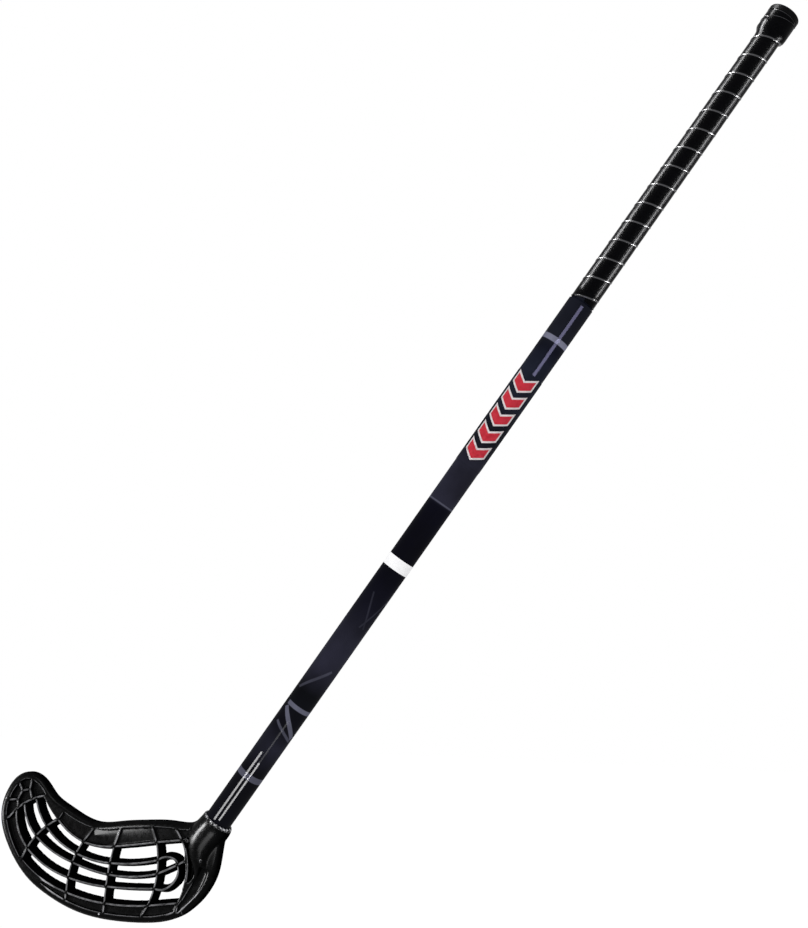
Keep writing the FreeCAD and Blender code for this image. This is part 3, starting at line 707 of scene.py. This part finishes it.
def make_polyethylene():
    """Polyethylene as it leaves the mould, with painted highlights on crests, sole and lip."""
    # To the eye it is a deep black, with a soft sheen on flat faces and painted grey highlights on crests.
    material, tree, shader = new_material("moulded_polyethylene", Specular_IOR_Level=0.03)
    place = add(tree, "TexCoord").outputs["Object"]
    normal = add(tree, "SeparateXYZ", {0: add(tree, "TexCoord").outputs["Normal"]})
    outwards = add(tree, "Math", {0: normal.outputs["Y"]}, operation="ABSOLUTE").outputs[0]
    mottle = add(tree, "TexNoise", {"Vector": place, "Scale": per_mm(MOTTLE_MM), "Detail": 4.0})
    tint = two_tints(tree, mottle.outputs[0], (0.3, "#010101"), (0.75, "#060607"))
    highlight_shares = {0: painted_crest_highlights(tree, place, outwards), 1: painted_lip_glints(tree, place)}
    highlight_share = add(tree, "Math", highlight_shares, operation="MAXIMUM")
    # The light grey is a painted highlight on the crests, the sole's edge and the socket's lip.
    wear_and_highlight = add(tree, "Mix", {0: highlight_share.outputs[0], 6: tint, 7: colour("#C6C6CA")}, data_type="RGBA")
    tree.links.new(wear_and_highlight.outputs[2], shader.inputs["Base Color"])
    shine = add(tree, "MapRange", {0: outwards, 1: 0.4, 2: 0.85, 3: 0.0, 4: 0.03})
    tree.links.new(shine.outputs[0], shader.inputs["Specular IOR Level"])
    rough = add(tree, "MapRange", {0: mottle.outputs[0], 1: 0.3, 2: 0.7, 3: 0.22, 4: 0.32})
    tree.links.new(rough.outputs[0], shader.inputs["Roughness"])
    grit = add(tree, "TexNoise", {"Vector": place, "Scale": per_mm(GRIT_MM), "Detail": 2.0})
    relief = add(tree, "Bump", {"Height": grit.outputs[0], "Strength": 0.05, "Distance": 0.1 * MM})
    tree.links.new(relief.outputs[0], shader.inputs["Normal"])
    return material


dress(blade, make_polyethylene())
print("blade dressed, with grit of", GRIT_MM, "mm")

# %% [markdown]
# ## Screws, marking band and printed film
# The screws are steel with a black zinc plating, and the marking band is plain white adhesive
# film. Both keep their solids. The printed film is clear, so it shows the lacquer below it and
# simply takes the lacquer's material: a sheet of glass would add noise and show nothing more.

# %% Plated steel
PLATING_MM = 2


def make_plated_steel():
    """Steel, plated with black zinc."""
    # To the eye it is a dark metal with a faint cloud from the plating bath.
    material, tree, shader = new_material("black_zinc_steel", Metallic=1.0, Roughness=0.35)
    place = add(tree, "TexCoord").outputs["Object"]
    film = add(tree, "TexNoise", {"Vector": place, "Scale": per_mm(PLATING_MM), "Detail": 3.0})
    tint = two_tints(tree, film.outputs[0], (0.3, "#1C1C1E"), (0.7, "#3A3A3D"))
    tree.links.new(tint, shader.inputs["Base Color"])
    return material


steel = make_plated_steel()
for screw in ("blade_screw_upper", "blade_screw_lower"):
    dress(nodes[screw], steel)
print("screws dressed")

# %% Films
LAY_MM = 4


def make_film_material(name, dark, light, roughness):
    """Dyed film or screen-printed ink, in two close tints."""
    # To the eye it is an even, flat colour with a satin shine.
    material, tree, shader = new_material(name, Roughness=roughness, Specular_IOR_Level=0.3)
    place = add(tree, "TexCoord").outputs["Object"]
    lay = add(tree, "TexNoise", {"Vector": place, "Scale": per_mm(LAY_MM), "Detail": 4.0})
    tint = two_tints(tree, lay.outputs[0], (0.3, dark), (0.7, light))
    tree.links.new(tint, shader.inputs["Base Color"])
    relief = add(tree, "Bump", {"Height": lay.outputs[0], "Strength": 0.05, "Distance": 0.2 * MM})
    tree.links.new(relief.outputs[0], shader.inputs["Normal"])
    return material


white_film = make_film_material("white_adhesive_film", "#EDEDEF", "#F6F6F7", 0.4)
dress(nodes["marking_band"], white_film)
dress(nodes["shaft_decal"], lacquer)
print("films dressed")

# %% [markdown]
# ## Chevrons: screen-printed ink
# The decoration is a row of red chevrons edged in white, screen-printed on the film. Ink of that
# kind lies on the film as a thin skin, so each chevron is a small sheet that follows the shaft's
# curve. A mask in the material would do as well, but sheets give the edge its own clean line.
# The white sheets are a little larger and lie under the red ones.

# %% Red chevrons edged in white
CHEVRON = {
    "count": 5, "first": 419.8, "spacing": 19.33, "bar": 9.0,
    "lean": 7.0, "half_arc": 10.0, "edge": 1.8, "middle": -1.6,
}
FILM_TOP, INK_THICKNESS = 13.3, 0.06
WHITE_LIFT, RED_LIFT = 0.02, 0.10
SHEET_COLUMNS, SHEET_ROWS = 24, 4


def chevron_sheet(name, edge, radius, material):
    """A row of chevrons on the shaft, each widened by an edge and lying at a radius."""
    mesh = bmesh.new()
    grow = math.hypot(CHEVRON["lean"], CHEVRON["half_arc"]) / CHEVRON["half_arc"] * edge
    for number in range(CHEVRON["count"]):
        first = CHEVRON["first"] + number * CHEVRON["spacing"] - grow
        bar = CHEVRON["bar"] + 2 * grow
        half = CHEVRON["half_arc"] + edge
        grid = []
        for row in range(SHEET_ROWS + 1):
            line = []
            for column in range(SHEET_COLUMNS + 1):
                arc = half * (2 * column / SHEET_COLUMNS - 1)
                lean = CHEVRON["lean"] * abs(arc) / CHEVRON["half_arc"]
                station = first + bar * row / SHEET_ROWS + lean
                angle = facing + (arc + CHEVRON["middle"]) / SHAFT_RADIUS
                line.append(mesh.verts.new(on_shaft(radius, angle, station)))
            grid.append(line)
        for low, high in zip(grid[:-1], grid[1:]):
            for corners in zip(low[:-1], low[1:], high[1:], high[:-1]):
                mesh.faces.new(corners)
    # The new faces have no normals at this point, so the second layer stays on the first one: the
    # sheets have two sides, but not the thickness that is asked for here.
    bmesh.ops.solidify(mesh, geom=mesh.faces[:], thickness=-INK_THICKNESS * MM)
    piece = make_piece(name, mesh, smooth=False)
    dress(piece, material)
    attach(piece, "stick")


white_ink = make_film_material("white_screen_ink", "#F2E9EB", "#FAF5F6", 0.3)
red_ink = make_film_material("red_screen_ink", "#DA2E42", "#E83C50", 0.3)
chevron_sheet("chevron_edges", CHEVRON["edge"], FILM_TOP + WHITE_LIFT, white_ink)
chevron_sheet("chevrons", 0.0, FILM_TOP + RED_LIFT, red_ink)
print("chevrons:", CHEVRON["count"])

# %% [markdown]
# ## Floor and world
# A white floor and a white world make the plain background. More lamps would whiten it too, but
# they would bleach the stick. So rays that the camera, a reflection or clear film sends out see
# the world at full white, while the light that it throws on the stick stays a little below. The
# floor mixes a plain glow with a matt white that still takes the shadow. It lies below the blade
# by a little more than the blade comes down when it is pulled off, so it cuts through no pose.

# %% Floor
FLOOR_DROP = 52.0
FLOOR_SIZE = 12
FLOOR_MOTTLE_MM = 250
GLOW_SHARE, GLOW_STRENGTH = 0.65, 1.15
floor_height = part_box("blade")[0].z - FLOOR_DROP * MM


def seen_share(tree):
    """1 for rays that show what they meet to the eye, straight, mirrored or through a film."""
    path = add(tree, "LightPath")
    eye = {0: path.outputs["Is Camera Ray"], 1: path.outputs["Is Glossy Ray"]}
    seen = add(tree, "Math", eye, operation="MAXIMUM")
    through = {0: seen.outputs[0], 1: path.outputs["Is Transmission Ray"]}
    return add(tree, "Math", through, operation="MAXIMUM").outputs[0]


def make_floor_material():
    """Painted studio floor."""
    # To the eye it is a matt white that fades into the background.
    material, tree, shader = new_material("white_studio_floor", Roughness=0.9, Specular_IOR_Level=0.0)
    place = add(tree, "TexCoord").outputs["Object"]
    speck = add(tree, "TexNoise", {"Vector": place, "Scale": per_mm(FLOOR_MOTTLE_MM)})
    tint = two_tints(tree, speck.outputs[0], (0.3, "#E9E9E9"), (0.7, "#EDEDED"))
    tree.links.new(tint, shader.inputs["Base Color"])
    part = add(tree, "Math", {0: seen_share(tree), 1: GLOW_SHARE}, operation="MULTIPLY")
    glow = add(tree, "Emission", {"Color": (1, 1, 1, 1), "Strength": GLOW_STRENGTH})
    mix = add(tree, "MixShader", {0: part.outputs[0], 1: shader.outputs[0], 2: glow.outputs[0]})
    tree.links.new(mix.outputs[0], tree.nodes["Material Output"].inputs["Surface"])
    return material


bpy.ops.mesh.primitive_grid_add(
    x_subdivisions=8, y_subdivisions=8, size=FLOOR_SIZE, location=(0, 0, floor_height))
floor = bpy.context.object
floor.name = "studio_floor"
dress(floor, make_floor_material())
print("floor at", round(floor_height, 4), "m")

# %% World
WORLD_LIGHT, WORLD_SEEN = 0.9, 1.0

world = bpy.data.worlds.new("white_studio")
scene.world = world
world.use_nodes = True
sky = world.node_tree
level = add(sky, "MapRange", {0: seen_share(sky), 3: WORLD_LIGHT, 4: WORLD_SEEN})
sky.nodes["Background"].inputs["Color"].default_value = (1, 1, 1, 1)
sky.links.new(level.outputs[0], sky.nodes["Background"].inputs["Strength"])
print("world gives", WORLD_LIGHT, "and shows", WORLD_SEEN)

# %% [markdown]
# ## Lamps
# A black, glossy stick is drawn by what it reflects: two sharp streaks low on the shaft, a violet
# one under the grip, soft sheens on both sides of the tape, on the socket and on the blade's
# upper band. Large softboxes would give such sheens as well, but far lamps also brighten the edges
# of the shaft in views from behind. So most are narrow strips close to the surface, each placed
# so that its mirror image, as the camera sees it, falls on the right line. The strips and two
# more lamps show only in reflections, and one softbox in front lights only what is matt.

# %% One lamp


def lamp(name, place, aim, size, watts, spread, sheen, tint="#FFFFFF", length=shaft_axis):
    """A rectangular lamp at a place, turned to an aim, for reflections only or for matt faces only."""
    data = bpy.data.lights.new(name, "AREA")
    data.shape = "RECTANGLE"
    data.size, data.size_y = size
    data.energy = watts
    data.color = colour(tint)[:3]
    data.spread = math.radians(spread)
    piece = bpy.data.objects.new(name, data)
    scene.collection.objects.link(piece)
    away = (place - aim).normalized()
    along = (length - away * length.dot(away)).normalized()
    turn = Matrix((along.cross(away), along, away)).transposed().to_4x4()
    piece.matrix_world = Matrix.Translation(place) @ turn
    piece.visible_camera = False
    piece.visible_glossy = sheen
    piece.visible_diffuse = not sheen


print("lamps lie along", [round(v, 3) for v in shaft_axis])

# %% Strips close to the surface
STRIP_GAP, STRIP_SPREAD = 12.0, 90
BAND_FRONT, BAND_SPREAD = -4.0, 120


def shaft_strip(name, radius, tilt, stations, width, watts, tint="#FFFFFF"):
    """A strip close to a round surface, whose mirror image lies at a tilt from the facing side."""
    tilt = math.radians(tilt)
    low, high = [s + (s - CAMERA_STATION) * STRIP_GAP / CAMERA_DISTANCE for s in stations]
    aim = on_shaft(radius, facing + tilt, (low + high) / 2)
    mirrored = on_shaft(STRIP_GAP, facing + 2 * tilt, 0) - mouth
    size = (width * MM, (high - low) * MM)
    lamp(name, aim + mirrored, aim, size, watts, STRIP_SPREAD, True, tint)


def blade_strip(name, start, end, distance, width, watts):
    """A strip whose mirror image in the blade's front runs between two places, out and up from the mouth."""
    start, end = [mouth + Vector((-out, BAND_FRONT, rise)) * MM for out, rise in (start, end)]
    aim = (start + end) / 2
    view = (camera_place - aim).normalized()
    mirrored = Vector((-view.x, view.y, -view.z))
    size = (width * MM, (end - start).length)
    lamp(name, aim + mirrored * distance * MM, aim, size, watts, BAND_SPREAD, True, length=end - start)


# Each strip: name, radius of its surface, tilt of its mirror image in degrees, stations, width, watts.
shaft_strip("grip_left", 12.5, -46, (612, 918), 3.6, 0.23)
shaft_strip("grip_right", 12.5, 41, (612, 905), 3.6, 0.18)
shaft_strip("knob_left", 15.5, -44, (924, 944), 3.6, 0.011)
shaft_strip("streak_left", SHAFT_RADIUS, -16.7, (2, 80), 5.4, 0.052)
shaft_strip("streak_right", SHAFT_RADIUS, 2.6, (4, 70), 4.7, 0.043)
shaft_strip("streak_fade", SHAFT_RADIUS, 2.1, (66, 118), 4.2, 0.003)
shaft_strip("streak_top", SHAFT_RADIUS, 9.2, (517, 597), 9.0, 0.033, "#CFCBFF")
shaft_strip("socket_sheen", 24, -38, (-30, -4), 8.0, 0.053)
shaft_strip("socket_face", 26, 6, (-36, -8), 16.0, 0.014)
blade_strip("band_sheen", (120, -16.5), (68, -9), 22, 6, 0.045)
print("strips stand", STRIP_GAP, "mm off the shaft")

# %% Lamps further off
picture_middle = camera_place - camera_back * CAMERA_DISTANCE * MM


def from_middle(right, up, towards):
    """A place measured in metres from the picture's middle: right, up and towards the camera."""
    return picture_middle + camera_right * right + camera_up * up + camera_back * towards


# Each lamp: name, place, aim, size in metres, watts, spread in degrees, only in reflections or not.
blade_middle = from_middle(-0.28, -0.36, 0)
lamp("front", from_middle(-0.35, 0.9, 1.2), from_middle(0, 0, 0), (0.8, 0.8), 6.5, 180, False)
lamp("blade_top", from_middle(-0.3, 0.45, 0.7), blade_middle, (0.3, 0.5), 0.55, 46, True)
lamp("blade_left", from_middle(-1.0, -0.36, 0.25), blade_middle, (0.4, 0.2), 4, 60, True)
